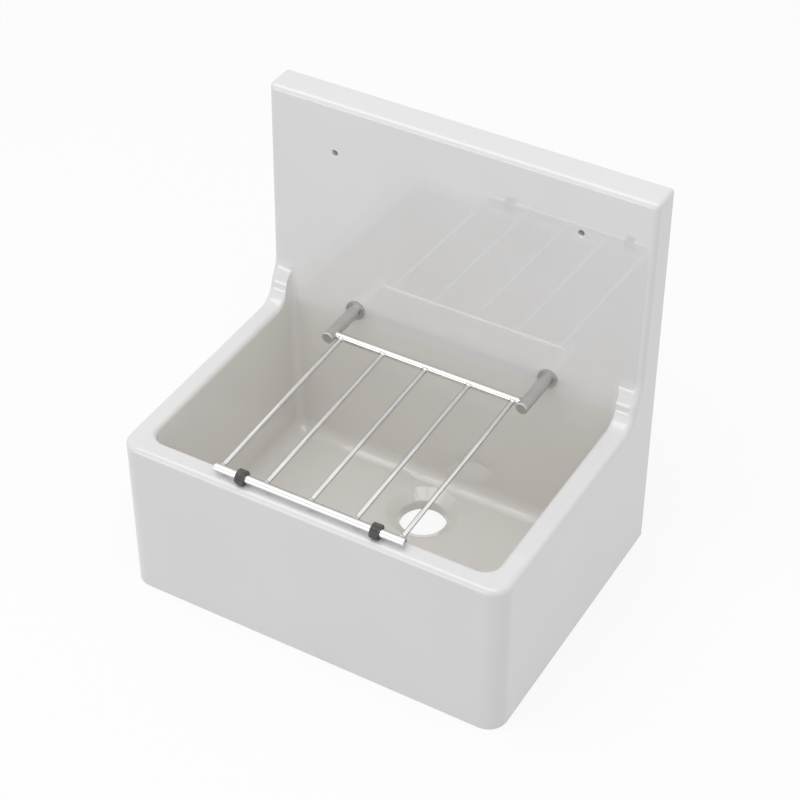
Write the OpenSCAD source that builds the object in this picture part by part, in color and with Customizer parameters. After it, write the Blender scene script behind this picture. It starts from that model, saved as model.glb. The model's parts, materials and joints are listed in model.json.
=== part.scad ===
// Mop service sink: a fireclay tub and splashback in one casting, with a bucket
// grating that hinges between two steel posts and lifts up against the splashback.
// The wall is behind it, at +Y, the front is at -Y and the underside is at z = 0.
// The origin lies under the middle of the sink's outline.

/* [Tub] */
// Width over the outside
width = 515; // [470:5:600]
// Depth from the wall to the front
depth = 391; // [360:1:440]
// Height from the underside to the rim
rim_h = 225; // [200:1:250]
// Width of the rim along the front and the sides
rim_w = 27; // [24:1:34]
// Radius of the two upright corners at the front
corner_r = 25; // [18:1:36]
// Rounding of the rim's outer edge
outer_round = 8; // [4:0.5:11]
// Rounding of the rim's inner edge
inner_round = 6; // [3:0.5:9]

/* [Basin] */
// Thickness of the floor
floor_t = 24; // [20:1:32]
// How far each side wall slopes in by the time it reaches the floor
side_draft = 13.2; // [6:0.1:20]
// How far the front wall slopes in by the time it reaches the floor
front_draft = 14; // [6:0.5:20]
// How far the back wall slopes in by the time it reaches the floor
back_draft = 15; // [6:0.5:22]
// Distance below the rim at which the back wall begins to slope in
bend_drop = 3; // [1:0.5:10]
// Radius of the upright corners at the front
inner_corner_r = 20; // [18:1:30]
// Radius of the upright corners at the back
back_corner_r = 11; // [8:0.5:16]
// Radius between the floor and the walls
floor_r = 18; // [10:1:18]

/* [Splashback] */
// Height from the underside to the top of the splashback
height = 531; // [480:1:620]
// Thickness at the top
splash_t = 39.8; // [34:0.1:48]
// Angle at which its face leans back
splash_lean = 1.33; // [0.5:0.01:2]
// Rounding of the top edge at each side
top_round = 5.5; // [3:0.5:8]
// Height above the rim at which each side wall meets the splashback
neck_rise = 46; // [40:1:60]
// Slope of the side walls where they climb to the splashback
neck_slope = 62; // [52:1:68]
// Radius where that slope leaves the rim
neck_foot_r = 28; // [20:1:34]
// Radius where that slope meets the splashback
neck_head_r = 10; // [8:1:14]
// Distance between the two screw holes
screw_spacing = 330; // [300:5:380]
// Distance of the screw holes below the top
screw_drop = 69; // [50:1:90]
// Diameter of the screw holes
screw_hole_d = 8; // [6:0.5:10]

/* [Outlet] */
// Distance of the outlet to the right of the middle
outlet_x = 8; // [-20:1:20]
// Distance of the outlet from the wall
outlet_from_wall = 126; // [124:1:170]
// Diameter of the outlet
outlet_d = 62; // [50:1:64]
// Length of the straight part of the outlet
outlet_len = 13; // [10:0.5:15]
// Diameter of the dish around the outlet at the floor
dish_d = 96; // [80:1:100]

/* [Posts] */
// Distance between the two posts
post_spacing = 271; // [266:1:320]
// Height of the posts above the rim, where they leave the splashback
post_rise = 15.3; // [15:0.1:22]
// Diameter of a post
post_d = 16; // [15:0.5:20]
// Distance from the splashback to the end of a post
post_reach = 70; // [68:1:84]
// Chamfer around the end of a post
post_chamfer = 1.2; // [0.5:0.1:2]
// Diameter of the flange at the splashback
flange_d = 25; // [22:0.5:29]
// Thickness of the flange
flange_t = 3; // [2:0.5:5]
// Diameter of the gasket behind the flange
gasket_d = 23; // [21:0.5:25]
// Thickness of the gasket
gasket_t = 1; // [0.5:0.5:2]

/* [Fixings behind the splashback] */
// Diameter of a stud
stud_d = 8; // [6:0.5:10]
// Depth to which a stud is screwed into its post
stud_grip = 20; // [14:1:28]
// Diameter of the stud's hole through the fireclay
stud_hole_d = 12; // [11:0.5:14]
// Fireclay left between the face and the recess for the nut
clay_under_nut = 27; // [24:1:30]
// Diameter of the recess for the nut
recess_d = 30; // [28:1:36]
// Diameter of the rubber pad in the recess
pad_d = 28; // [26:0.5:28]
// Thickness of the rubber pad
pad_t = 2; // [1:0.5:3]
// Diameter of the steel washer
washer_d = 24; // [20:0.5:26]
// Thickness of the steel washer
washer_t = 1.6; // [1:0.1:2]
// Width of the nut across its flats
nut_width = 13; // [12:0.5:17]
// Thickness of the nut
nut_t = 6.5; // [4:0.5:7]
// Length of stud that shows past the nut
stud_past_nut = 3; // [1:0.5:4]

/* [Grating] */
// Distance of the hinge from the splashback
hinge_reach = 58.3; // [56:0.1:60]
// Diameter of the hinge bar and of the front bar
bar_d = 10; // [9.5:0.5:11]
// Length of the front bar
front_bar_len = 254; // [250:1:264]
// Diameter of a rod
rod_d = 6; // [5:0.5:8]
// Distance from rod to rod
rod_pitch = 60; // [54:0.5:60]
// Outer diameter of the bush in each post
bush_d = 10; // [9.5:0.25:10.5]
// Wall of the bush
bush_wall = 1; // [0.75:0.25:1.5]
// Depth of the bush's seat in the post
bush_depth = 12; // [10:0.5:13]

/* [Buffers] */
// Distance from each end of the front bar to the middle of its buffer
buffer_inset = 37; // [25:1:50]
// Diameter of a buffer
buffer_d = 19; // [17:0.5:21]
// Width of a buffer
buffer_w = 10.5; // [8:0.5:14]
// Diameter of each groove along a buffer
groove_d = 2.4; // [1.5:0.1:3]

/* [Clearances] */
// Between a threaded piece and its thread, all round
thread_fit = 0.05; // [0.02:0.01:0.1]
// Between a plain hole and what passes through it, all round
hole_fit = 0.2; // [0.1:0.05:0.5]
// Between the hinge bar's ends and the bushes, all round
hinge_fit = 0.05; // [0.02:0.01:0.08]
// Between the hinge bar and each post, along the bar
side_gap = 0.3; // [0.2:0.1:1]
// Between the buffers and the rim
rest_gap = 0.3; // [0.2:0.1:0.5]
// Between a rod's end and the bar that it is welded to
weld_gap = 0.02; // [0.01:0.01:0.05]

/* [Hidden] */
$fn = 96;
ROD_COUNT = 5;
RODS = [for (i = [1:ROD_COUNT]) str("rod_", i)];

LEFT = -1;
RIGHT = 1;
GROOVES = 12;
HULL_FN = 32;
air = 1;  // how far a cut runs out into the air
tuck = 0.5;  // how far the basin runs into the splashback, which then fills it again

half_w = width / 2;
half_in = half_w - rim_w;
front_in = -depth + rim_w;
bend_z = rim_h - bend_drop;
neck_z = rim_h + neck_rise;
foot_y = splash_y(neck_z) - neck_rise / tan(neck_slope);
foot_run = neck_foot_r * tan(neck_slope / 2);
head_turn = 90 - splash_lean - neck_slope;
head_run = neck_head_r * tan(head_turn / 2);
screw_z = height - screw_drop;

post_z = rim_h + post_rise;
post_x = post_spacing / 2;
post_start = gasket_t + flange_t;
seat_s = -clay_under_nut;  // the recess's seat, counted along the stud from the face
nut_s = seat_s - pad_t - washer_t;

hinge_y = splash_y(post_z) - hinge_reach * cos(splash_lean);
hinge_z = post_z + hinge_reach * sin(splash_lean);
front_bar_y = -depth + rim_w / 2;
front_bar_z = rim_h + rest_gap + buffer_d / 2;
bar_gap = norm([front_bar_y - hinge_y, front_bar_z - hinge_z]);
rest_angle = asin((hinge_z - front_bar_z) / bar_gap);
post_side = post_x - post_d / 2;
spigot_d = bush_d - 2 * bush_wall - 2 * hinge_fit;

// Where the splashback's face is at height z, counted from the wall
function splash_y(z) = -splash_t - (height - z) * tan(splash_lean);

// Everything is drawn from the wall, and this moves it under the row's middle
module from_wall() {
    translate([0, depth / 2, 0]) children();
}

// A solid that runs along X, from its outline in depth and height
module along_x(length) {
    rotate([90, 0, 90]) translate([0, 0, -length / 2]) linear_extrude(length) children();
}

// What a radius leaves over between two edges that run off from p at angles a and b
module corner_web(p, a, b, r) {
    half = (b - a) / 2;
    mid = (a + b) / 2;
    centre = p + r / sin(half) * [cos(mid), sin(mid)];
    run = r / tan(half);
    difference() {
        polygon([p, p + run * [cos(a), sin(a)], centre, p + run * [cos(b), sin(b)]]);
        translate(centre) circle(r = r);
    }
}

// Section of what rounding an edge takes away, with the edge at the origin
module edge_section(r) {
    difference() {
        translate([-air, -air]) square(r + air);
        translate([r, r]) circle(r = r);
    }
}

// That cut along a straight edge, from its back end at height z, falling forward by slope
module edge_straight(y, z, slope, length, r) {
    translate([0, y, z]) rotate([slope, 0, 0]) rotate([90, 180, 0])
        linear_extrude(length) edge_section(r);
}

// That cut along one side of the rim and up the neck's slope, with the clay on the -X side
module neck_edge(r, start_y) {
    slope_end = splash_y(neck_z) - head_run * cos(neck_slope);
    slope_len = neck_rise / sin(neck_slope) - head_run - foot_run;
    edge_straight(foot_y - foot_run, rim_h, 0, foot_y - foot_run - start_y, r);
    edge_straight(slope_end, neck_z - head_run * sin(neck_slope), neck_slope, slope_len, r);
}

// That cut from the neck's head up the splashback's edge, then back along its top
module splash_edge(r) {
    top_z = height + air;
    edge_len = (top_z - neck_z) / cos(splash_lean) - head_run;
    edge_straight(splash_y(top_z), top_z, 90 - splash_lean, edge_len, r);
    edge_straight(air, height, 0, 2 * air - splash_y(height), top_round);
}

// Outline seen from above, with the two rounded corners at the front
module plan_outline() {
    translate([-half_w, -depth + corner_r]) square([width, depth - corner_r]);
    translate([-half_w + corner_r, -depth]) square([width - 2 * corner_r, depth]);
    for (side = [LEFT, RIGHT])
        translate([side * (half_w - corner_r), -depth + corner_r]) circle(r = corner_r);
}

// Outline of the tub and its necks, seen from the side
module tub_outline() {
    difference() {
        union() {
            translate([-depth, 0]) square([depth, rim_h]);
            polygon([[foot_y, rim_h], [0, rim_h], [0, neck_z], [splash_y(neck_z), neck_z]]);
        }
        corner_web([-depth, rim_h], -90, 0, outer_round);
    }
    corner_web([foot_y, rim_h], neck_slope, 180, neck_foot_r);
    corner_web([splash_y(neck_z), neck_z], 90 - splash_lean, 180 + neck_slope, neck_head_r);
}

// Outline of the splashback, seen from the side
module splash_outline() {
    difference() {
        polygon([[0, 0], [0, height], [splash_y(height), height], [splash_y(0), 0]]);
        corner_web([splash_y(height), height], -90 - splash_lean, 0, outer_round);
    }
}

// The space inside the tub, which runs on up between the necks
module basin() {
    top_z = neck_z + neck_head_r + air;
    wall_z = rim_h - inner_round;
    low_x = half_in - side_draft - floor_r;
    low_z = floor_t + floor_r;
    low_y = [front_in + front_draft + floor_r, splash_y(bend_z) - back_draft - floor_r];
    hull() {
        for (side = [LEFT, RIGHT]) {
            for (y = low_y) translate([side * low_x, y, low_z]) sphere(r = floor_r, $fn = HULL_FN);
            translate([side * (half_in - inner_corner_r), front_in + inner_corner_r, wall_z])
                cylinder(r = inner_corner_r, h = top_z - wall_z, $fn = HULL_FN);
            translate([side * (half_in - back_corner_r), splash_y(bend_z), bend_z])
                rotate([-splash_lean, 0, 0]) translate([0, tuck - back_corner_r, 0])
                    cylinder(r = back_corner_r, h = top_z - bend_z, $fn = HULL_FN);
        }
    }
}

// Rounding of the rim's inner edge
module inner_edge() {
    corner_y = front_in + inner_corner_r;
    along_x(2 * (half_in - inner_corner_r)) translate([front_in, rim_h]) rotate(180)
        edge_section(inner_round);
    for (side = [0, 1]) mirror([side, 0, 0]) {
        translate([half_in, 0, 0]) mirror([1, 0, 0]) neck_edge(inner_round, corner_y);
        translate([half_in - inner_corner_r, corner_y, rim_h]) rotate([0, 0, -90])
            rotate_extrude(angle = 90) translate([inner_corner_r, 0]) mirror([0, 1])
                edge_section(inner_round);
    }
}

// Rounding of the outer edge, from the front corners to the top of the splashback
module outer_edge() {
    corner_y = -depth + corner_r;
    for (side = [0, 1]) mirror([side, 0, 0]) {
        translate([half_w, 0, 0]) neck_edge(outer_round, corner_y);
        translate([half_w, 0, 0]) splash_edge(outer_round);
        translate([half_w - corner_r, corner_y, rim_h]) rotate([0, 0, -90])
            rotate_extrude(angle = 90) translate([corner_r, 0]) rotate(180)
                edge_section(outer_round);
    }
}

// Places children on a post's axis, with the splashback's face at y = 0
module at_post(side) {
    translate([side * post_x, splash_y(post_z), post_z]) rotate([-splash_lean, 0, 0]) children();
}

// A round piece along that axis, between two distances in front of the face
module on_axis(d, from, to) {
    translate([0, -from, 0]) rotate([90, 0, 0]) cylinder(d = d, h = to - from);
}

// A washer along that axis, for the stud to pass through
module washer(d, from, to) {
    difference() {
        on_axis(d, from, to);
        on_axis(stud_d + 2 * hole_fit, from - air, to + air);
    }
}

// The cross hole for a bush, of a given diameter and depth from the post's inner side
module bush_hole(side, d, deep) {
    translate([-side * post_d / 2, -hinge_reach, 0]) rotate([0, side * 90, 0])
        translate([0, 0, -air]) cylinder(d = d, h = deep + air);
}

module outlet_cut() {
    dish_h = floor_t - outlet_len;
    flare = (dish_d - outlet_d) / 2 / dish_h;
    translate([outlet_x, -outlet_from_wall, 0]) {
        translate([0, 0, -air]) cylinder(d = outlet_d, h = outlet_len + 2 * air);
        translate([0, 0, outlet_len])
            cylinder(d1 = outlet_d, d2 = dish_d + 2 * air * flare, h = dish_h + air);
    }
}

module splash_holes() {
    for (side = [LEFT, RIGHT]) {
        translate([side * screw_spacing / 2, air, screw_z]) rotate([90, 0, 0])
            cylinder(d = screw_hole_d, h = 2 * air - splash_y(screw_z));
        at_post(side) on_axis(stud_hole_d, seat_s - air, air);
        at_post(side) on_axis(recess_d, splash_y(post_z) - air, seat_s);
    }
}

module sink_body() {
    color([0.96, 0.96, 0.95]) from_wall() difference() {
        union() {
            difference() {
                intersection() {
                    along_x(width) tub_outline();
                    linear_extrude(height) plan_outline();
                }
                basin();
                inner_edge();
            }
            along_x(width) splash_outline();
        }
        outer_edge();
        outlet_cut();
        splash_holes();
    }
}

module post(side) {
    color([0.62, 0.62, 0.61]) from_wall() at_post(side) difference() {
        union() {
            on_axis(post_d, post_start, post_reach - post_chamfer);
            translate([0, -post_reach + post_chamfer, 0]) rotate([90, 0, 0])
                cylinder(d1 = post_d, d2 = post_d - 2 * post_chamfer, h = post_chamfer);
        }
        on_axis(stud_d + 2 * thread_fit, post_start - air, post_start + stud_grip + air);
        bush_hole(side, bush_d, bush_depth);
    }
}

module flange(side) {
    color([0.7, 0.7, 0.69]) from_wall() at_post(side) washer(flange_d, gasket_t, post_start);
}

module gasket(side) {
    color([0.2, 0.2, 0.2]) from_wall() at_post(side) washer(gasket_d, 0, gasket_t);
}

// The bush fills its seat and is cut flush with the post's round side
module bush(side) {
    color([0.85, 0.85, 0.82]) from_wall() at_post(side) difference() {
        intersection() {
            bush_hole(side, bush_d, bush_depth);
            on_axis(post_d, hinge_reach - bush_d, hinge_reach + bush_d);
        }
        bush_hole(side, bush_d - 2 * bush_wall, bush_depth + air);
    }
}

module stud(side) {
    color([0.75, 0.75, 0.74]) from_wall() at_post(side)
        on_axis(stud_d, nut_s - nut_t - stud_past_nut, post_start + stud_grip);
}

module back_pad(side) {
    color([0.15, 0.15, 0.15]) from_wall() at_post(side) washer(pad_d, seat_s - pad_t, seat_s);
}

module back_washer(side) {
    color([0.7, 0.7, 0.7]) from_wall() at_post(side) washer(washer_d, nut_s, seat_s - pad_t);
}

module nut(side) {
    color([0.72, 0.72, 0.7]) from_wall() at_post(side) difference() {
        translate([0, -nut_s + nut_t, 0]) rotate([90, 0, 0])
            cylinder(d = nut_width / cos(30), h = nut_t, $fn = 6);
        on_axis(stud_d + 2 * thread_fit, nut_s - nut_t - air, nut_s + air);
    }
}

// Places children on the hinge, with the front bar straight ahead at y = -bar_gap
module at_hinge() {
    translate([0, hinge_y, hinge_z]) rotate([rest_angle, 0, 0]) children();
}

// A round bar along X, centred
module cross_bar(d, length) {
    rotate([0, 90, 0]) cylinder(d = d, h = length, center = true);
}

// The bar has a turned-down spigot at each end, which runs in a bush
module hinge_bar() {
    color([0.88, 0.88, 0.88]) from_wall() at_hinge() {
        cross_bar(bar_d, 2 * (post_side - side_gap));
        cross_bar(spigot_d, 2 * (post_side + bush_depth - side_gap));
    }
}

module front_bar() {
    color([0.88, 0.88, 0.88]) from_wall() at_hinge() translate([0, -bar_gap, 0])
        cross_bar(bar_d, front_bar_len);
}

// A rod's ends are shaped to sit against the two bars
module rod(number) {
    color([0.86, 0.86, 0.86]) from_wall() at_hinge() difference() {
        translate([(number - (ROD_COUNT + 1) / 2) * rod_pitch, 0, 0]) rotate([90, 0, 0])
            cylinder(d = rod_d, h = bar_gap);
        for (y = [0, -bar_gap]) translate([0, y, 0]) cross_bar(bar_d + 2 * weld_gap, width);
    }
}

// A ring with grooves all round, standing on a land between two of them
module buffer(side) {
    color([0.08, 0.08, 0.08]) from_wall() at_hinge()
        translate([side * (front_bar_len / 2 - buffer_inset), -bar_gap, 0]) rotate([-rest_angle, 0, 0])
            difference() {
                cross_bar(buffer_d, buffer_w);
                cross_bar(bar_d + 2 * thread_fit, buffer_w + 2 * air);
                for (i = [0:GROOVES - 1]) rotate([(i + 0.5) * 360 / GROOVES, 0, 0])
                    translate([0, 0, buffer_d / 2]) cross_bar(groove_d, buffer_w + 2 * air);
            }
}

sink_body();
post(LEFT);  // post_left
post(RIGHT);  // post_right
flange(LEFT);  // flange_left
flange(RIGHT);  // flange_right
gasket(LEFT);  // gasket_left
gasket(RIGHT);  // gasket_right
bush(LEFT);  // bush_left
bush(RIGHT);  // bush_right
stud(LEFT);  // stud_left
stud(RIGHT);  // stud_right
back_pad(LEFT);  // back_pad_left
back_pad(RIGHT);  // back_pad_right
back_washer(LEFT);  // back_washer_left
back_washer(RIGHT);  // back_washer_right
nut(LEFT);  // nut_left
nut(RIGHT);  // nut_right
hinge_bar();
front_bar();
buffer(LEFT);  // buffer_left
buffer(RIGHT);  // buffer_right
for (i = [1:ROD_COUNT]) rod(i);
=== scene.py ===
import bpy, bmesh, json, math
from mathutils import Matrix, Vector


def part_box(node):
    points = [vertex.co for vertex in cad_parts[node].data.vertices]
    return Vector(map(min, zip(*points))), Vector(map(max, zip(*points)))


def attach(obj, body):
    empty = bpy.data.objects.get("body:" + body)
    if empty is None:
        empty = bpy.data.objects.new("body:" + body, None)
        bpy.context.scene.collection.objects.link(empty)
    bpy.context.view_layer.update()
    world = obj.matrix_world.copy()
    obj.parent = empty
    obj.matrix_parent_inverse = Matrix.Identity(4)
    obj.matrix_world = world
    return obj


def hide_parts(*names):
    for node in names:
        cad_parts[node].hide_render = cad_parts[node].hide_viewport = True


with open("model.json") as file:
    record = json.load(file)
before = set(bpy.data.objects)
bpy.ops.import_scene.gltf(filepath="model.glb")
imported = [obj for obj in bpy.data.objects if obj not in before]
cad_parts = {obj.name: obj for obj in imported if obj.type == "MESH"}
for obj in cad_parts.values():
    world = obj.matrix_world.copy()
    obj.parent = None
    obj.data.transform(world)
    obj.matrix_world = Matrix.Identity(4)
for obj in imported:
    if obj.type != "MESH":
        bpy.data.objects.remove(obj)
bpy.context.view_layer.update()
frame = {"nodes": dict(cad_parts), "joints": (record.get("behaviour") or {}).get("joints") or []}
mm = 0.001
hair = 0.01 * mm  # two points closer than this are one


# helpers for modelling; those that are given no piece work on the one that is open
def openEdit():
    bpy.ops.object.mode_set(mode="EDIT")


def closeEdit():
    bpy.ops.object.mode_set(mode="OBJECT")


def begin(name, addPrimitive, **place):  # a primitive at its place, opened in edit mode
    bpy.ops.object.select_all(action="DESELECT")
    addPrimitive(**place)
    piece = bpy.context.object
    piece.name = piece.data.name = name
    bpy.ops.object.transform_apply(location=True, rotation=True, scale=True)
    openEdit()
    return piece


def box(name, low, high):  # a cube between two corners
    middle = [(a + b) / 2 for a, b in zip(low, high)]
    size = [b - a for a, b in zip(low, high)]
    return begin(name, bpy.ops.mesh.primitive_cube_add, size=1, location=middle, scale=size)


def roundBar(name, radius, length, sides):  # a cylinder along Z, about the origin
    return begin(name, bpy.ops.mesh.primitive_cylinder_add, vertices=sides, radius=radius, depth=length)


def centreOf(part):
    return sum((v.co for v in part.verts), Vector()) / len(part.verts)


def bend(edge):  # how far the surface turns at an edge, in radians, positive where the edge stands out
    return edge.calc_face_angle_signed(0.0)


def drop(edge):  # how far an edge runs up or down
    return abs(edge.verts[0].co.z - edge.verts[1].co.z)


def near(a, b, room=0.02 * mm):
    return abs(a - b) < room


def pick(kind, test):  # selects what passes the test, and nothing else
    mesh = bmesh.from_edit_mesh(bpy.context.object.data)
    bpy.ops.mesh.select_mode(type=kind)
    bpy.ops.mesh.select_all(action="DESELECT")
    mesh.normal_update()
    parts = {"VERT": mesh.verts, "EDGE": mesh.edges, "FACE": mesh.faces}[kind]
    for part in [part for part in parts if test(part)]:
        part.select_set(True)
    bmesh.update_edit_mesh(bpy.context.object.data)


def weigh(test, value):  # bevel weight for the edges that pass the test
    mesh = bmesh.from_edit_mesh(bpy.context.object.data)
    weights = mesh.edges.layers.float
    layer = weights.get("bevel_weight_edge") or weights.new("bevel_weight_edge")
    for edge in mesh.edges:
        if test(edge):
            edge[layer] = value(edge) if callable(value) else value
    bmesh.update_edit_mesh(bpy.context.object.data)


def moveBy(x=0.0, y=0.0, z=0.0):
    bpy.ops.transform.translate(value=(x, y, z))


def cutAt(co, no):
    bpy.ops.mesh.bisect(plane_co=co, plane_no=no)


def roundEdges(radius, segments):
    bpy.ops.mesh.bevel(offset=radius, segments=segments, profile=0.5, affect="EDGES", clamp_overlap=False)


def widen(share):  # about the Z axis
    bpy.ops.transform.resize(value=(share, share, 1), center_override=(0, 0, 0))


def carryOn(distance, share=1.0):  # extrudes the end face along Z, and makes it wider or narrower
    bpy.ops.mesh.extrude_region_move(TRANSFORM_OT_translate={"value": (0, 0, distance)})
    if share != 1:
        widen(share)


def weldPoints():
    bpy.ops.mesh.select_all(action="SELECT")
    bpy.ops.mesh.remove_doubles(threshold=hair)


def joinFlatFaces():
    bpy.ops.mesh.dissolve_limited(angle_limit=math.radians(0.1))


def activate(piece):
    bpy.ops.object.select_all(action="DESELECT")
    piece.select_set(True)
    bpy.context.view_layer.objects.active = piece


def modify(piece, kind, **settings):  # adds a modifier and applies it at once
    activate(piece)
    bpy.ops.object.modifier_add(type=kind)
    modifier = piece.modifiers[-1]
    for key, value in settings.items():
        setattr(modifier, key, value)
    bpy.ops.object.modifier_apply(modifier=modifier.name)


def roundWeighted(piece, radius, segments, **settings):  # an edge of weight 1 is rounded by the whole radius
    modify(piece, "BEVEL", limit_method="WEIGHT", width=radius, segments=segments, use_clamp_overlap=False,
           **settings)


def cutOut(piece, cutter):  # boolean difference, after which the cutter is gone
    modify(piece, "BOOLEAN", object=cutter, operation="DIFFERENCE", solver="MANIFOLD")
    bpy.data.objects.remove(cutter)


def turned(degrees, axis):
    return Matrix.Rotation(math.radians(degrees), 4, axis)


def lay(piece, place):  # moves the mesh, while the piece stays at the origin
    piece.data.transform(place)
    piece.data.update()
    return piece


def copyOf(piece, name, x):  # a copy with its own mesh, moved along X
    twin = bpy.data.objects.new(name, piece.data.copy())
    twin.data.name = name
    bpy.context.collection.objects.link(twin)
    return lay(twin, Matrix.Translation((x, 0, 0)))


def smooth(piece, degrees):
    activate(piece)
    bpy.ops.object.shade_smooth_by_angle(angle=math.radians(degrees))
    modify(piece, "WEIGHTED_NORMAL", weight=80, keep_sharp=True)


def report(piece):
    mesh = bmesh.new()
    mesh.from_mesh(piece.data)
    loose = sum(1 for edge in mesh.edges if len(edge.link_faces) != 2)
    volume = mesh.calc_volume()
    mesh.free()
    print(f"{piece.name}: {len(piece.data.polygons)} faces, {loose} open edges, {volume * 1e6:.1f} cm3")


camera = {  # fitted to the photograph: place in m, angles in degrees, lens and sensor in mm
    "position": (0.99647, -1.68657, 1.89829),
    "azimuth": 30.199,
    "elevation": 39.965,
    "roll": -0.109,
    "lens": 97.03,
    "sensor": 36,
    "clip": (0.05, 50),
}
bpy.ops.object.camera_add(location=camera["position"])
photoCamera = bpy.context.object
photoCamera.name = "photoCamera"
aim = turned(camera["azimuth"], "Z") @ turned(90 - camera["elevation"], "X") @ turned(camera["roll"], "Z")
photoCamera.rotation_euler = aim.to_euler()
photoCamera.data.lens = camera["lens"]
photoCamera.data.sensor_width = camera["sensor"]
photoCamera.data.clip_start, photoCamera.data.clip_end = camera["clip"]
bpy.context.scene.camera = photoCamera
print("camera placed")


sink = {  # the fireclay body, in mm and degrees
    "width": 515, "depth": 391, "height": 531, "rimHeight": 225, "rimWidth": 27,
    "cornerRadius": 25, "outerRound": 8, "innerRound": 6, "topRound": 5.5, "backRound": 2.5, "footRound": 1,
    "floor": 24, "sideDraft": 13.2, "frontDraft": 14, "backDraft": 15, "bendHeight": 222,
    "frontInner": 20, "backInner": 11, "floorInner": 18,
    "topThickness": 39.8, "lean": 1.33,
    "neckFoot": 62.5, "neckKnee": 58.3, "kneeHeight": 248.9, "neckSlope": 61.5, "headHeight": 270,  # about
    "footRun": 20.3, "kneeRun": 3.9, "headRun": 9, "neckFade": 22,
    "cutterTop": 340, "meetHeight": 300,
    "screwSpacing": 330, "screwDrop": 69, "screwHole": 8, "screwRound": 1.3,
    "outletX": 8, "outletFromWall": 126, "outletWidth": 62, "outletLength": 13, "throatRound": 2,
    "dishWidth": 96, "lipRound": 4, "lipFade": 60,
    "postSpacing": 271, "postHeight": 240.3, "studHole": 12, "recess": 30, "clayUnderNut": 27,
    "steps": {"bends": (12, 4, 8), "corner": 16, "outer": 8, "basin": 12, "rim": 6, "lip": 6, "mouth": 4},
    "sides": {"outlet": 96, "hole": 64},
    "smoothAngle": 40,
}
half = sink["width"] / 2 * mm
front, back = -sink["depth"] / 2 * mm, sink["depth"] / 2 * mm
rim, top, floorZ = sink["rimHeight"] * mm, sink["height"] * mm, sink["floor"] * mm
outlet = Vector((sink["outletX"] * mm, back - sink["outletFromWall"] * mm))
outletRadius, dishRadius = sink["outletWidth"] / 2 * mm, sink["dishWidth"] / 2 * mm
screwX, screwZ = sink["screwSpacing"] / 2 * mm, (sink["height"] - sink["screwDrop"]) * mm
postX, postZ = sink["postSpacing"] / 2 * mm, sink["postHeight"] * mm
steps, sides = sink["steps"], sink["sides"]


def faceAt(height):  # the y of the splashback's face
    return back - sink["topThickness"] * mm - (top - height) * math.tan(math.radians(sink["lean"]))


def shapeFromSide():  # lifts the block's back into necks and splashback, and rounds the bends between them
    foot, knee = back - sink["neckFoot"] * mm, back - sink["neckKnee"] * mm
    kneeZ, slope = sink["kneeHeight"] * mm, math.tan(math.radians(sink["neckSlope"]))
    headZ = kneeZ + (faceAt(sink["headHeight"] * mm) - knee) * slope
    path = [(foot, rim), (knee, kneeZ), (faceAt(headZ), headZ), (faceAt(top), top)]
    for y, z in path:
        pick("FACE", lambda f: True)
        cutAt((0, y, 0), (0, 1, 0))
    for y, z in path + [(back, top)]:
        pick("VERT", lambda v: near(v.co.y, y) and near(v.co.z, rim))
        moveBy(z=z - rim)
    bpy.ops.mesh.select_all(action="SELECT")
    joinFlatFaces()
    runs = (sink["footRun"], sink["kneeRun"], sink["headRun"])
    for (y, z), run, segments in zip(path, runs, steps["bends"]):
        pick("EDGE", lambda e: all(near(v.co.y, y) and near(v.co.z, z) for v in e.verts))
        roundEdges(run * mm, segments)


def buildOutside():  # tub, necks and splashback in one block
    body = box("sinkBody", (-half, front, 0), (half, back, rim))
    shapeFromSide()
    corner, widest, sharp = sink["cornerRadius"] * mm, sink["outerRound"], 0.5
    pick("EDGE", lambda e: all(near(v.co.y, front) for v in e.verts) and drop(e) > corner)
    roundEdges(corner, steps["corner"])

    def isOuter(edge):
        return bend(edge) > sharp and all(
            abs(v.co.x) > half - hair or v.co.y < front + corner + hair or v.co.z > top - hair or v.co.z < hair
            for v in edge.verts)

    def isSideOfTop(edge):
        return isOuter(edge) and all(near(v.co.z, top) for v in edge.verts) and abs(centreOf(edge).x) > half - hair

    weigh(isOuter, 1.0)
    weigh(isSideOfTop, sink["topRound"] / widest)
    weigh(lambda e: isOuter(e) and all(near(v.co.y, back) for v in e.verts), sink["backRound"] / widest)
    weigh(lambda e: isOuter(e) and all(near(v.co.z, 0) for v in e.verts), sink["footRound"] / widest)
    closeEdit()
    roundWeighted(body, widest * mm, steps["outer"])
    return body


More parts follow.
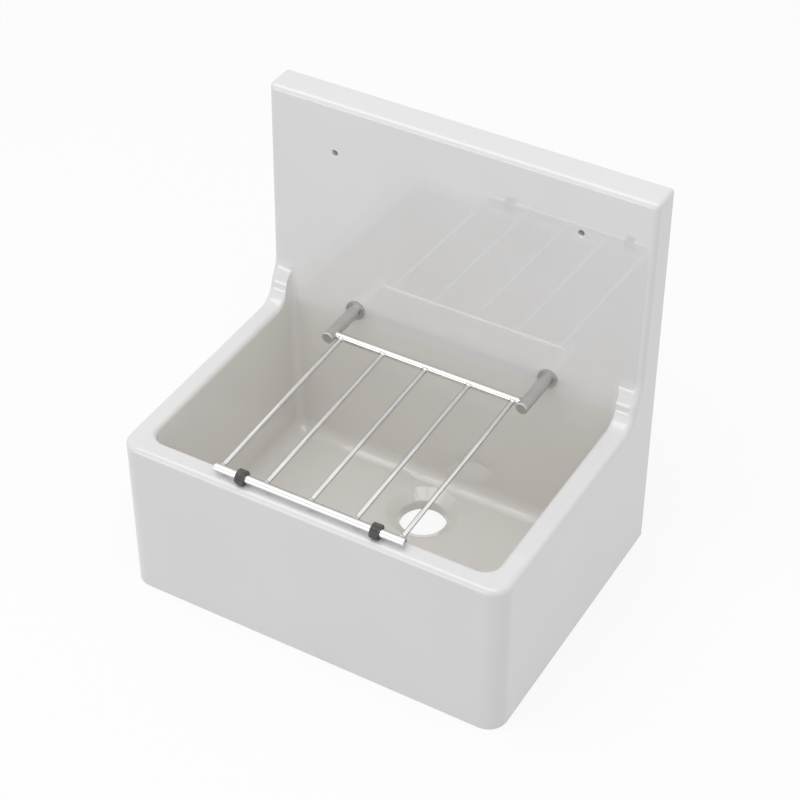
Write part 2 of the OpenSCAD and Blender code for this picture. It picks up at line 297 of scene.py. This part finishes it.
def buildBasin():  # the space inside, which is cut out of the block
    bendZ, high, level = (sink[key] * mm for key in ("bendHeight", "cutterTop", "meetHeight"))
    tuck = 0.05 * mm  # the cutter goes this far into the splashback's face, and leaves it at the meeting height
    inner, frontIn = half - sink["rimWidth"] * mm, front + sink["rimWidth"] * mm
    rise = (high - floorZ) / (rim - floorZ)
    lowX = inner - sink["sideDraft"] * mm
    lowBack = faceAt(bendZ) - sink["backDraft"] * mm
    basin = box("basin", (-lowX, frontIn + sink["frontDraft"] * mm, floorZ), (lowX, lowBack, high))
    for side in (-1, 1):
        pick("VERT", lambda v: near(v.co.z, high) and v.co.x * side > 0)
        moveBy(x=side * sink["sideDraft"] * mm * rise)
    pick("VERT", lambda v: near(v.co.z, high) and v.co.y < 0)
    moveBy(y=-sink["frontDraft"] * mm * rise)
    pick("FACE", lambda f: centreOf(f).y > lowBack - hair and abs(f.normal.y) > 0.9)
    cutAt((0, 0, bendZ), (0, 0, 1))
    pick("VERT", lambda v: near(v.co.z, bendZ))
    moveBy(y=faceAt(bendZ) + tuck - lowBack)
    pick("VERT", lambda v: near(v.co.z, high) and v.co.y > 0)
    moveBy(y=faceAt(high) - tuck * (high - level) / (level - bendZ) - lowBack)
    widest, tall = sink["frontInner"], 20 * mm
    weigh(lambda e: drop(e) > tall and centreOf(e).y < 0, 1.0)
    weigh(lambda e: drop(e) > tall and centreOf(e).y > 0, sink["backInner"] / widest)
    weigh(lambda e: all(near(v.co.z, floorZ) for v in e.verts), sink["floorInner"] / widest)
    closeEdit()
    roundWeighted(basin, widest * mm, steps["basin"])
    return basin


def roundInnerRim(body):  # the rounding thins out up the necks
    pastSide, pastFront, crowded, sharp = 4 * mm, 20 * mm, 0.6 * mm, 0.6
    inside = half - sink["rimWidth"] * mm + pastSide

    def onRim(edge):
        return bend(edge) > sharp and all(
            v.co.z > rim - hair and abs(v.co.x) < inside and front + pastFront < v.co.y < faceAt(top)
            for v in edge.verts)

    activate(body)
    openEdit()
    weldPoints()
    joinFlatFaces()
    pick("EDGE", onRim)
    bpy.ops.mesh.remove_doubles(threshold=crowded)
    weigh(lambda e: True, 0.0)
    weigh(onRim, lambda e: max(0, 1 - (centreOf(e).z - rim) / (sink["neckFade"] * mm)))
    closeEdit()
    roundWeighted(body, sink["innerRound"] * mm, steps["rim"], loop_slide=False)


def partFaces(body):  # large faces that are about to get a hole are parted through its middle
    large = 1e-4  # m2
    middles = [(0, x) for x in (-screwX, -postX, outlet.x, postX, screwX)] + [(1, outlet.y), (2, postZ), (2, screwZ)]
    activate(body)
    openEdit()
    for axis, place in middles:
        pick("FACE", lambda f: f.calc_area() > large)
        spot, across = Vector(), Vector()
        spot[axis], across[axis] = place, 1
        cutAt(spot, across)
    closeEdit()


def cutOutlet(body):  # the bore, and the dish above it
    length, below, over = sink["outletLength"] * mm, 5 * mm, 4 * mm
    above = floorZ + over - length  # the dish, carried on past the floor
    cutter = roundBar("outlet", outletRadius, length + below, sides["outlet"])
    bpy.ops.mesh.select_all(action="SELECT")
    moveBy(z=(length - below) / 2)
    pick("FACE", lambda f: f.normal.z > 0.9)
    carryOn(above, 1 + (dishRadius / outletRadius - 1) * above / (floorZ - length))
    closeEdit()
    cutOut(body, lay(cutter, Matrix.Translation((outlet.x, outlet.y, 0))))


def cutHole(body, name, width, ends, place):  # between two depths, measured forwards from its place
    cutter = roundBar(name, width / 2 * mm, ends[1] - ends[0], sides["hole"])
    closeEdit()
    cutOut(body, lay(cutter, place @ Matrix.Translation((0, 0, sum(ends) / 2))))


def cutHoles(body):  # screw holes level, stud holes and recesses square to the leaning face
    throughClay = (-back - 5 * mm, 20 * mm - faceAt(0))
    behind, before = -60 * mm, 10 * mm  # past the clay on both sides, from the splashback's face
    for side in (-1, 1):
        level = Matrix.Translation((side * screwX, 0, screwZ)) @ turned(90, "X")
        square = Matrix.Translation((side * postX, faceAt(postZ), postZ)) @ turned(90 - sink["lean"], "X")
        cutHole(body, "screwHole", sink["screwHole"], throughClay, level)
        cutHole(body, "studHole", sink["studHole"], (behind, before), square)
        cutHole(body, "recess", sink["recess"], (behind, -sink["clayUnderNut"] * mm), square)


def fromOutlet(vertex):
    return (vertex.co.xy - outlet).length


def roundLip(body):  # of the dish, less and less towards the back, where it runs up the floor's rounding
    risen, within, beyond, soft, least = 3.5 * mm, 0.3 * mm, 8 * mm, 0.15, 0.1
    nearWall = faceAt(rim) - (sink["backDraft"] + sink["floorInner"]) * mm

    def onLip(edge):
        return bend(edge) > soft and all(
            floorZ - hair < v.co.z < floorZ + risen and dishRadius - within < fromOutlet(v) < dishRadius + beyond
            for v in edge.verts)

    activate(body)
    openEdit()
    weldPoints()
    bpy.ops.mesh.dissolve_degenerate(threshold=hair)
    weigh(lambda e: True, 0.0)
    weigh(onLip, lambda e: max(least, min(1, (nearWall - centreOf(e).y) / (sink["lipFade"] * mm))))
    closeEdit()
    roundWeighted(body, sink["lipRound"] * mm, steps["lip"], loop_slide=False)


def roundMouths(body):  # the top of the outlet's bore, and the front of the screw holes
    sharp, length, hole, clear = 0.5, sink["outletLength"] * mm, sink["screwHole"] / 2 * mm, 10 * mm

    def onThroat(vertex):
        return near(vertex.co.z, length, 0.3 * mm) and near(fromOutlet(vertex), outletRadius, 0.5 * mm)

    activate(body)
    openEdit()
    pick("EDGE", lambda e: all(onThroat(v) for v in e.verts))
    roundEdges(sink["throatRound"] * mm, steps["mouth"])
    for side in (-1, 1):
        spot = Vector((side * screwX, screwZ))
        pick("EDGE", lambda e: bend(e) > sharp and all(
            near((v.co.xz - spot).length, hole, 0.2 * mm) and v.co.y < back - clear for v in e.verts))
        roundEdges(sink["screwRound"] * mm, steps["mouth"])
    closeEdit()


def buildBody():
    body = buildOutside()
    cutOut(body, buildBasin())
    roundInnerRim(body)
    partFaces(body)
    cutOutlet(body)
    cutHoles(body)
    roundLip(body)
    roundMouths(body)
    report(body)
    smooth(body, sink["smoothAngle"])
    return body


sinkBody = buildBody()
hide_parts("sink_body")
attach(sinkBody, "sink")
print("body modelled")


hinge = Vector(next(joint for joint in frame["joints"] if joint["name"] == "grating_hinge")["pos_m"])
hingeBox, frontBox = [[Vector(corner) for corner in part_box(node)] for node in ("hinge_bar", "front_bar")]
frontBarAt = (frontBox[0] + frontBox[1]) / 2
barGap = (hinge - frontBarAt).yz.length
restTurn = math.degrees(math.atan2(hinge.z - frontBarAt.z, hinge.y - frontBarAt.y))

bar = {  # mm
    "width": 10, "sides": 64, "endRound": 0.9, "shoulderRound": 0.4, "roundSteps": 5,
    "spigotWidth": 7.9, "spigotLength": 11.7,
}


def makeBar(name, length, middle, spigot=0.0):  # along Z at first, then turned to lie along X
    radius, sharp = bar["width"] / 2 * mm, 0.5
    piece = roundBar(name, radius, length, bar["sides"])
    for end in (-1, 1):
        pick("FACE", lambda f: f.normal.z * end > 0.9)
        if spigot:
            bpy.ops.mesh.inset(thickness=(bar["width"] - bar["spigotWidth"]) / 2 * mm)
            carryOn(end * spigot)
    pick("EDGE", lambda e: bend(e) > sharp and abs(centreOf(e).z) > length / 2 - hair and all(
        near(v.co.xy.length, radius) for v in e.verts))
    roundEdges(bar["shoulderRound" if spigot else "endRound"] * mm, bar["roundSteps"])
    closeEdit()
    return lay(piece, Matrix.Translation(middle) @ turned(90, "Y"))


rod = {  # mm; the weld's last step is longer by a share, and the end then runs straight into the bar
    "width": 6, "sides": 40, "weld": 1.5, "weldLength": 3.2, "weldSteps": 5, "lastStep": 1.25, "intoBar": 1.2,
}


def makeRod(name):  # from the hinge bar to the front bar, flaring into a weld at both ends
    radius, weld, run = rod["width"] / 2 * mm, rod["weld"] * mm, rod["weldLength"] * mm
    piece = roundBar(name, radius, barGap - bar["width"] * mm - 2 * run, rod["sides"])
    last, middle = rod["weldSteps"], (hinge + frontBarAt) / 2
    for end in (-1, 1):
        wide = radius
        pick("FACE", lambda f: f.normal.z * end > 0.9)
        for step in range(1, last + 1):
            wider = radius + weld * (1 - math.sqrt(1 - (step / last) ** 2))
            carryOn(end * run * (rod["lastStep"] if step == last else 1) / last, wider / wide)
            wide = wider
        carryOn(end * rod["intoBar"] * mm)
    closeEdit()
    return lay(piece, Matrix.Translation((0, middle.y, middle.z)) @ turned(restTurn, "X") @ turned(90, "X"))


buffer = {  # mm
    "width": 19, "bore": 10.1, "boreSides": 64, "grooves": 12, "grooveDepth": 1.15, "endRound": 0.5,
    "stepsPerGroove": 10, "groove": {0: 1.0, 1: 0.86, 9: 0.86, 2: 0.42, 8: 0.42},  # share of the depth, by step
    "end": ((0.5, 0.99), (0.3, 0.985), (0.2, 0.97)),  # share of the end's rounding, and of the width so far
}


def makeBuffer(name):  # round the front bar, at the middle of its length
    low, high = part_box("buffer_left")
    length, radius, end = high[0] - low[0], buffer["width"] / 2 * mm, buffer["endRound"] * mm
    perGroove = buffer["stepsPerGroove"]
    around = buffer["grooves"] * perGroove
    piece = roundBar(name, radius, length - 2 * end, around)

    def stepOf(vertex):
        return round(math.atan2(vertex.co.y, vertex.co.x) / math.tau * around + perGroove / 2) % perGroove

    for place, share in buffer["groove"].items():
        pick("VERT", lambda v: stepOf(v) == place)
        widen(1 - buffer["grooveDepth"] * mm * share / radius)
    for way in (-1, 1):
        pick("FACE", lambda f: f.normal.z * way > 0.9)
        for rise, share in buffer["end"]:
            carryOn(way * end * rise, share)
    closeEdit()
    bore = roundBar("bore", buffer["bore"] / 2 * mm, length * 2, buffer["boreSides"])
    closeEdit()
    cutOut(piece, bore)
    return lay(piece, Matrix.Translation((0, frontBarAt.y, frontBarAt.z)) @ turned(90, "Y"))


def middleX(node):
    low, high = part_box(node)
    return (low[0] + high[0]) / 2


def repeat(first, others, nodes):  # the first piece goes to its node's place along X, and a copy to each other's
    copies = [copyOf(first, name, middleX(node)) for name, node in zip(others, nodes[1:])]
    return [lay(first, Matrix.Translation((middleX(nodes[0]), 0, 0)))] + copies


def onGrating(piece, node):
    report(piece)
    smooth(piece, 35)
    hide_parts(node)
    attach(piece, "grating")


spigot = bar["spigotLength"] * mm
hingeBar = makeBar("hingeBar", hingeBox[1].x - hingeBox[0].x - 2 * spigot, hinge, spigot)
frontBar = makeBar("frontBar", frontBox[1].x - frontBox[0].x, frontBarAt)
rodNodes = [f"rod_{number}" for number in range(1, 6)]
rods = repeat(makeRod("rod1"), [f"rod{number}" for number in range(2, 6)], rodNodes)
buffers = repeat(makeBuffer("bufferLeft"), ["bufferRight"], ["buffer_left", "buffer_right"])
for piece, node in zip([hingeBar, frontBar] + rods, ["hinge_bar", "front_bar"] + rodNodes):
    onGrating(piece, node)
for piece, node in zip(buffers, ["buffer_left", "buffer_right"]):
    onGrating(piece, node)
print("grating modelled")


class Level:  # what comes out of a node, with arithmetic
    def __init__(self, finish, socket):
        self.finish, self.socket = finish, socket

    def part(self, name):  # another output of the same node
        return Level(self.finish, self.socket.node.outputs[name])

    def __add__(self, other):
        return self.finish.maths("ADD", self, other)

    def __radd__(self, other):
        return self.finish.maths("ADD", other, self)

    def __sub__(self, other):
        return self.finish.maths("SUBTRACT", self, other)

    def __rsub__(self, other):
        return self.finish.maths("SUBTRACT", other, self)

    def __mul__(self, other):
        return self.finish.maths("MULTIPLY", self, other)

    def __rmul__(self, other):
        return self.finish.maths("MULTIPLY", other, self)


class Finish:  # the nodes of one material, or of the sky
    def __init__(self, owner):
        owner.use_nodes = True
        self.owner = owner
        self.nodes, self.links = owner.node_tree.nodes, owner.node_tree.links
        self.nodes.clear()

    def node(self, kind, settings=None, inputs=None, output=0):
        made = self.nodes.new("ShaderNode" + kind)
        for key, value in (settings or {}).items():
            setattr(made, key, value)
        for key, value in (inputs or {}).items():
            if isinstance(value, Level):
                self.links.new(value.socket, made.inputs[key])
            else:
                made.inputs[key].default_value = value
        return Level(self, made.outputs[output]) if made.outputs else None

    def maths(self, operation, first, second=0.0):
        return self.node("Math", {"operation": operation}, {0: first, 1: second})

    def noise(self, place, scale, detail, stretch=(1, 1, 1)):
        spot = self.node("Mapping", inputs={"Vector": place, "Scale": stretch})
        return self.node("TexNoise", inputs={"Vector": spot, "Scale": scale, "Detail": detail})

    def spread(self, level, low, high):  # 0 at low, 1 at high, smooth between
        return self.node("MapRange", {"interpolation_type": "SMOOTHSTEP"},
                         {"Value": level, "From Min": low, "From Max": high})

    def blend(self, share, first, second):  # colours
        return self.node("Mix", {"data_type": "RGBA"}, {0: share, 6: first, 7: second}, output=2)

    def bump(self, height, distance, strength, under=None):
        inputs = {"Height": height, "Distance": distance, "Strength": strength}
        if under:
            inputs["Normal"] = under
        return self.node("Bump", inputs=inputs)

    def seenDirectly(self):  # 1 for camera, mirror and glass rays
        path = self.node("LightPath")
        seen = self.maths("MAXIMUM", path.part("Is Camera Ray"), path.part("Is Glossy Ray"))
        return self.maths("MAXIMUM", seen, path.part("Is Transmission Ray"))

    def close(self, **inputs):
        shader = self.node("BsdfPrincipled", inputs={key.replace("_", " "): value for key, value in inputs.items()})
        self.node("OutputMaterial", inputs={"Surface": shader})
        return self.owner


def startFinish(name):
    return Finish(bpy.data.materials.new(name))


def opaque(colour, share=1.0, lift=0.0):
    return tuple(c * share + lift for c in colour) + (1,)


glaze = {
    # inside is painted shade: the basin's inside is coloured darker and warmer, like the shade and the warm bounced
    # light in the bowl
    "colour": (0.82, 0.812, 0.8), "thin": (0.805, 0.796, 0.78), "inside": (0.79, 0.765, 0.725),
    "clay": (0.66, 0.6, 0.5), "speck": (0.55, 0.52, 0.46), "speckShare": 0.12,
    "slowScale": 9, "waveScale": 38, "peelScale": 520, "speckScale": 900,
    "thinFrom": (0.35, 0.7), "speckFrom": (0.76, 0.8),  # levels of the noise
    "gloss": 0.02, "glossChange": 0.03, "clayRoughness": 0.75, "index": 1.75,
    "waves": 0.12, "peel": 0.004, "relief": 0.3,  # depths in mm, and the strength of both
    "innerShadeX": (0.238, 0.228), "innerShadeY": (-0.176, -0.166), "innerShadeZ": (0.232, 0.218),  # m, from outside to inside, where the basin's painted shade comes in
    "backEdge": (1.9, 1.3), "footEdge": (0.4, 0.9), "ragged": (2, 0.6),  # mm, where glaze ends and bare clay begins
}


def makeGlaze():
    f = startFinish("whiteGlaze")
    place = f.node("TexCoord", output="Object")
    slow, waves = f.noise(place, glaze["slowScale"], 2), f.noise(place, glaze["waveScale"], 3)
    peel, speck = f.noise(place, glaze["peelScale"], 2), f.noise(place, glaze["speckScale"], 1)
    axes = f.node("SeparateXYZ", inputs={0: place})
    depth, height = axes.part("Y"), axes.part("Z")
    raggedBack, raggedFoot = [(waves - 0.5) * (edge * mm) for edge in glaze["ragged"]]
    bareBack = f.spread(depth + raggedBack, *[back - edge * mm for edge in glaze["backEdge"]])
    glazedFoot = f.spread(height + raggedFoot, *[edge * mm for edge in glaze["footEdge"]])
    bare = f.maths("MAXIMUM", bareBack, 1 - glazedFoot)
    # painted shade: inside the basin, below the rim, the colour turns darker and warmer
    inside = f.spread(f.maths("ABSOLUTE", axes.part("X")), *glaze["innerShadeX"]) * f.spread(depth, *glaze["innerShadeY"])
    inside = inside * f.spread(height, *glaze["innerShadeZ"])
    colour = f.blend(f.spread(slow, *glaze["thinFrom"]), opaque(glaze["colour"]), opaque(glaze["thin"]))
    colour = f.blend(inside, colour, opaque(glaze["inside"]))
    colour = f.blend(f.spread(speck, *glaze["speckFrom"]) * glaze["speckShare"], colour, opaque(glaze["speck"]))
    colour = f.blend(bare, colour, opaque(glaze["clay"]))
    gloss = glaze["gloss"] + (slow - 0.5) * glaze["glossChange"] + bare * glaze["clayRoughness"]
    even = f.bump(waves, glaze["waves"] * mm, glaze["relief"])
    fine = f.bump(peel, glaze["peel"] * mm, glaze["relief"], even)
    return f.close(Base_Color=colour, Roughness=gloss, IOR=glaze["index"], Normal=fine)


steels = {  # fineness of the brushed lines, the axis they run along, their depth in mm; edge tints the grazing shine
    "satinSteel": {"colour": (0.61, 0.6, 0.585), "roughness": 0.34, "lines": 900, "along": "Y", "depth": 0.01,
                   "edge": (1, 1, 1)},
    "polishedSteel": {"colour": (0.86, 0.86, 0.85), "roughness": 0.06, "lines": 1200, "along": "X", "depth": 0.001,
                      "edge": (0.3, 0.3, 0.3)},
    "plainSteel": {"colour": (0.62, 0.62, 0.6), "roughness": 0.28, "lines": 700, "along": "Y", "depth": 0.004,
                   "edge": (1, 1, 1)},
}
wear = {"stretch": 0.04, "cloudScale": 45, "cloudFrom": (0.3, 0.7), "dim": 0.93, "lineShare": 0.6,
        "smudgeScale": 90, "smudgeFrom": (0.5, 0.75), "smudgeShare": 0.35, "relief": 0.6}


def makeSteel(name):
    steel, f = steels[name], startFinish(name)
    colour, rough = steel["colour"], steel["roughness"]
    place = f.node("TexCoord", output="Object")
    brushed = f.noise(place, steel["lines"], 3, [wear["stretch"] if axis == steel["along"] else 1 for axis in "XYZ"])
    smudge = f.spread(f.noise(place, wear["smudgeScale"], 4), *wear["smudgeFrom"])
    cloud = f.spread(f.noise(place, wear["cloudScale"], 2), *wear["cloudFrom"])
    shade = f.blend(cloud, opaque(colour), opaque(colour, wear["dim"]))
    gloss = rough + (brushed - 0.5) * (rough * wear["lineShare"]) + smudge * (rough * wear["smudgeShare"])
    return f.close(Base_Color=shade, Metallic=1.0, Roughness=gloss, Specular_Tint=opaque(steel["edge"]),
                   Normal=f.bump(brushed, steel["depth"] * mm, wear["relief"]))


moulded = {
    "bufferRubber": (0.075, 0.07, 0.064), "softRubber": (0.09, 0.09, 0.09), "nylon": (0.72, 0.7, 0.65),
    "cloudScale": 160, "cloudFrom": (0.4, 0.75), "paler": 1.7, "lift": 0.01, "roughness": 0.5, "change": 0.3,
    "grainScale": 1400, "grain": 0.03, "relief": 0.6,  # depth in mm, and its strength
}


def makeRubber(name):
    colour, f = moulded[name], startFinish(name)
    place = f.node("TexCoord", output="Object")
    grain, slow = f.noise(place, moulded["grainScale"], 3), f.noise(place, moulded["cloudScale"], 3)
    pale = opaque(colour, moulded["paler"], moulded["lift"])
    shade = f.blend(f.spread(slow, *moulded["cloudFrom"]), opaque(colour), pale)
    return f.close(Base_Color=shade, Roughness=moulded["roughness"] + (slow - 0.5) * moulded["change"],
                   Normal=f.bump(grain, moulded["grain"] * mm, moulded["relief"]))


def paint(pieces, material):  # new pieces
    for piece in pieces:
        piece.data.materials.clear()
        piece.data.materials.append(material)


def dress(kinds, material):  # CAD nodes that stay, left and right
    for node in [frame["nodes"][f"{kind}_{side}"] for kind in kinds for side in ("left", "right")]:
        for slot in node.material_slots:
            slot.material = material


paint([sinkBody], makeGlaze())
dress(["post", "flange"], makeSteel("satinSteel"))
paint([hingeBar, frontBar] + rods, makeSteel("polishedSteel"))
dress(["stud", "back_washer", "nut"], makeSteel("plainSteel"))
paint(buffers, makeRubber("bufferRubber"))
dress(["gasket", "back_pad"], makeRubber("softRubber"))
dress(["bush"], makeRubber("nylon"))
print("finishes made")


studio = {  # greys of the floor and the sky where they aren't seen directly; lamps in m and W
    "floor": 0.57, "floorSize": 14, "backdrop": 0.82,
    "sky": 0.725, "tint": (0.985, 0.995, 1.03),
    "topLight": {"place": (-0.1, -0.6, 2.3), "aim": (0, 0, 0.25), "size": (2.6, 1.2), "watts": 13.8},
    "frontLight": {"place": (-1.05, -2.45, 0.36), "aim": (0, 0, 0.3), "size": (1.3, 0.6), "watts": 5},
}
white = opaque((1, 1, 1))


def layFloor():  # seen directly it is nearly white, and the light it throws back is that of a grey floor
    bpy.ops.mesh.primitive_plane_add(size=studio["floorSize"], location=(0, 0, 0))
    floor = bpy.context.object
    floor.name = "floor"
    f = startFinish("paleFloor")
    seen = f.seenDirectly()
    matt = f.node("BsdfDiffuse", inputs={"Color": f.blend(seen, opaque([studio["floor"]] * 3), white)})
    glow = f.node("Emission", inputs={"Color": white, "Strength": 1.0})
    surface = f.node("MixShader", inputs={0: seen * studio["backdrop"], 1: matt, 2: glow})
    f.node("OutputMaterial", inputs={"Surface": surface})
    floor.data.materials.append(f.owner)


def hangSky():  # white where it is seen directly
    world = bpy.data.worlds.new("sky")
    bpy.context.scene.world = world
    f = Finish(world)
    seen = f.seenDirectly()
    strength = seen * (1.0 - studio["sky"]) + studio["sky"]
    colour = f.blend(seen, opaque(studio["tint"]), white)
    shine = f.node("Background", inputs={"Color": colour, "Strength": strength})
    f.node("OutputWorld", inputs={"Surface": shine})


def addLamp(name):
    place, aim, size, watts = (studio[name][key] for key in ("place", "aim", "size", "watts"))
    bpy.ops.object.light_add(type="AREA", location=place)
    lamp = bpy.context.object
    lamp.name = name
    lamp.data.shape = "RECTANGLE"
    lamp.data.size, lamp.data.size_y = size
    lamp.data.energy = watts
    lamp.rotation_euler = (Vector(aim) - Vector(place)).to_track_quat("-Z", "Y").to_euler()


layFloor()
hangSky()
addLamp("topLight")
addLamp("frontLight")
bpy.context.scene.view_settings.view_transform = "Standard"
print("studio set")
